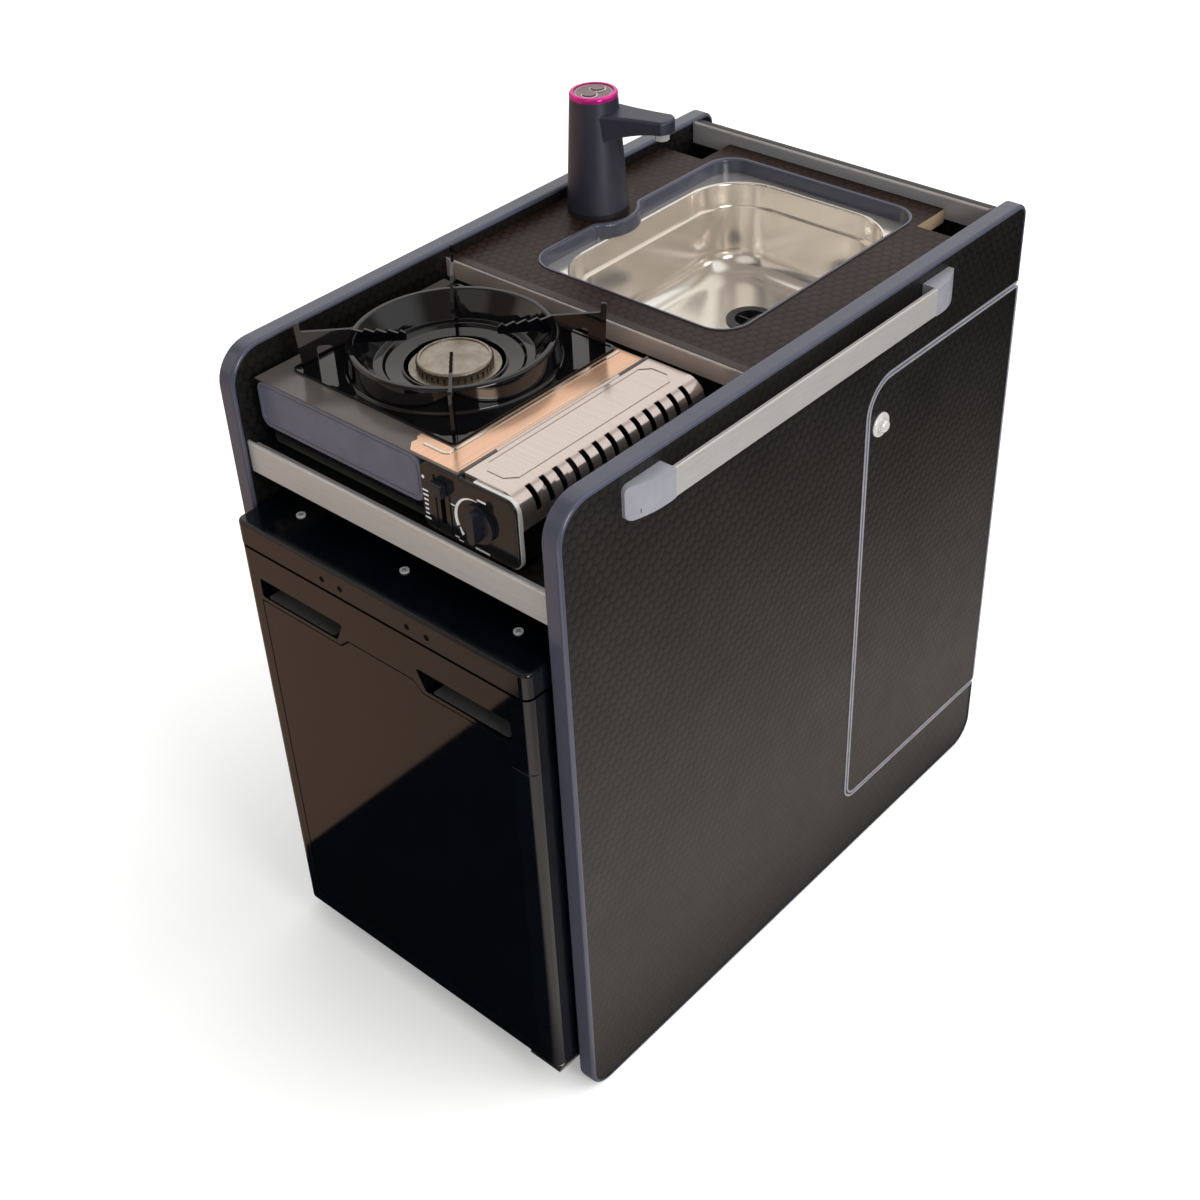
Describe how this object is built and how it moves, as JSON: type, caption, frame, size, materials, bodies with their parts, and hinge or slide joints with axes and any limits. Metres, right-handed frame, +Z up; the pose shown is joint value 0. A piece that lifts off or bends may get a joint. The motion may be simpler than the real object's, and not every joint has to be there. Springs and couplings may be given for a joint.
{
  "type": "campervan kitchen pod",
  "caption": "Narrow camper kitchen cabinet with a lift-out gas stove, a drop sink with a swivelling pump tap, a front fridge and a rear cupboard with a locking side door.",
  "frame": {"origin": "middle of the cabinet's footprint, on the underside of the floor panel and side panels", "axes": "+Z up, -Y towards the fridge's front, +X towards the side with the handle and the cupboard door"},
  "size_m": [0.438, 0.726, 0.8233],
  "materials": {
    "laminate": "black laminate with a fine honeycomb emboss",
    "trim": "grey-blue satin edge trim",
    "band": "light grey satin edge band",
    "plywood": "light plywood with a black face",
    "worktop": "dark brown-black laminate, light plywood edge",
    "aluminium": "anodised, brushed along its length",
    "handle_cap": "satin cast end caps",
    "sink_steel": "brushed stainless sheet",
    "black_plastic": "matt black plastic",
    "zinc": "zinc-plated steel",
    "chrome": "polished chrome",
    "tap_charcoal": "charcoal, matt",
    "anodised_pink": "magenta anodised ring",
    "stove_paint": "grey-blue paint, satin",
    "stove_steel": "polished stainless sheet",
    "gloss_black": "gloss black",
    "enamel": "black enamel",
    "burner_alloy": "cast, slightly rough",
    "brass": "turned brass",
    "fridge_case": "dark grey plastic and sheet over foam",
    "liner": "white liner",
    "glass": "clear safety glass",
    "rubber": "soft black rubber",
    "compressor_black": "black painted steel"
  },
  "bodies": {
    "cabinet": {"left_side_panel": "laminate", "left_panel_trim": "trim", "right_side_panel": "laminate", "right_panel_trim": "trim", "door_opening_band": "band", "door_pivot_pins": "zinc", "floor_panel": "plywood", "back_panel": "laminate", "divider_panel": "plywood", "stove_shelf": "plywood", "stove_bay_riser": "plywood", "support_battens": "plywood", "worktop": "worktop", "sink_cutout_trim": "trim", "front_rail": "aluminium", "worktop_edge_rail": "aluminium", "rear_rail": "aluminium", "handle_bar": "aluminium", "handle_end_caps": "handle_cap", "lock_keeper": "zinc", "sink_bowl": "sink_steel", "sink_waste": "black_plastic", "waste_nut": "black_plastic", "tap_base": "black_plastic", "fridge_shell": "fridge_case", "fridge_liner": "liner", "fridge_shelf": "glass", "fridge_top": "fridge_case", "fridge_top_screws": "chrome", "fridge_feet": "rubber", "compressor": "compressor_black", "fridge_hinges": "zinc"},
    "cupboard_door": {"cupboard_door": "laminate", "cupboard_door_band": "band", "lock_rosette": "chrome", "lock_case": "black_plastic"},
    "lock_button": {"lock_button": "chrome"},
    "lock_latch": {"lock_latch": "zinc"},
    "tap": {"tap_body": "tap_charcoal", "tap_ring": "anodised_pink", "tap_top": "black_plastic", "tap_nozzle": "chrome"},
    "tap_flow_button": {"tap_flow_button": "black_plastic"},
    "tap_power_button": {"tap_power_button": "black_plastic"},
    "stove": {"stove_case": "enamel", "stove_top_plate": "stove_paint", "stove_front": "stove_paint", "stove_control_panel": "gloss_black", "burner_body": "burner_alloy", "burner_cap": "burner_alloy", "gas_regulator": "brass", "lid_hinge_pin": "zinc"},
    "stove_knob": {"stove_knob": "black_plastic"},
    "stove_lever": {"stove_lever": "black_plastic"},
    "stove_lid": {"stove_lid": "stove_steel"},
    "pan_support": {"pan_support": "enamel"},
    "fridge_door": {"fridge_door": "fridge_case", "fridge_door_panel": "gloss_black", "fridge_door_cap": "gloss_black", "fridge_gasket": "rubber"}
  },
  "joints": [
    {"name": "cupboard_door_hinge", "type": "hinge", "parent": "cabinet", "child": "cupboard_door", "pos_m": [0.201, 0.34, 0.355], "axis": [0, 0, 1], "range_deg": [0, 100]},
    {"name": "lock_button_press", "type": "slide", "parent": "cupboard_door", "child": "lock_button", "axis": [-1, 0, 0], "range_m": [0, 0.006]},
    {"name": "lock_latch_slide", "type": "slide", "parent": "cupboard_door", "child": "lock_latch", "axis": [0, -1, 0], "range_m": [0, 0.006]},
    {"name": "tap_swivel", "type": "hinge", "parent": "cabinet", "child": "tap", "pos_m": [-0.149, 0.106, 0.75], "axis": [0, 0, 1], "range_deg": [-90, 90]},
    {"name": "tap_flow_press", "type": "slide", "parent": "tap", "child": "tap_flow_button", "axis": [0, 0, -1], "range_m": [0, 0.001], "stiffness_N_per_m": 300},
    {"name": "tap_power_press", "type": "slide", "parent": "tap", "child": "tap_power_button", "axis": [0, 0, -1], "range_m": [0, 0.001], "stiffness_N_per_m": 300},
    {"name": "stove_lift_out", "type": "slide", "parent": "cabinet", "child": "stove", "axis": [0, 0, 1], "range_m": [0, 0.12]},
    {"name": "stove_knob_turn", "type": "hinge", "parent": "stove", "child": "stove_knob", "pos_m": [0.103, -0.335, 0.648], "axis": [0, -1, 0], "range_deg": [0, 140]},
    {"name": "stove_lever_slide", "type": "slide", "parent": "stove", "child": "stove_lever", "axis": [0, 0, -1], "range_m": [0, 0.034]},
    {"name": "stove_lid_hinge", "type": "hinge", "parent": "stove", "child": "stove_lid", "pos_m": [0.081, -0.2075, 0.687], "axis": [0, -1, 0], "range_deg": [0, 95]},
    {"name": "pan_support_lift", "type": "slide", "parent": "stove", "child": "pan_support", "axis": [0, 0, 1], "range_m": [0, 0.06]},
    {"name": "fridge_door_hinge", "type": "hinge", "parent": "cabinet", "child": "fridge_door", "pos_m": [0.178, -0.364, 0.285], "axis": [0, 0, 1], "range_deg": [0, 100]}
  ],
  "couplings": [
    {"joint": "lock_latch_slide", "follows": "lock_button_press", "ratio": 1}
  ]
}
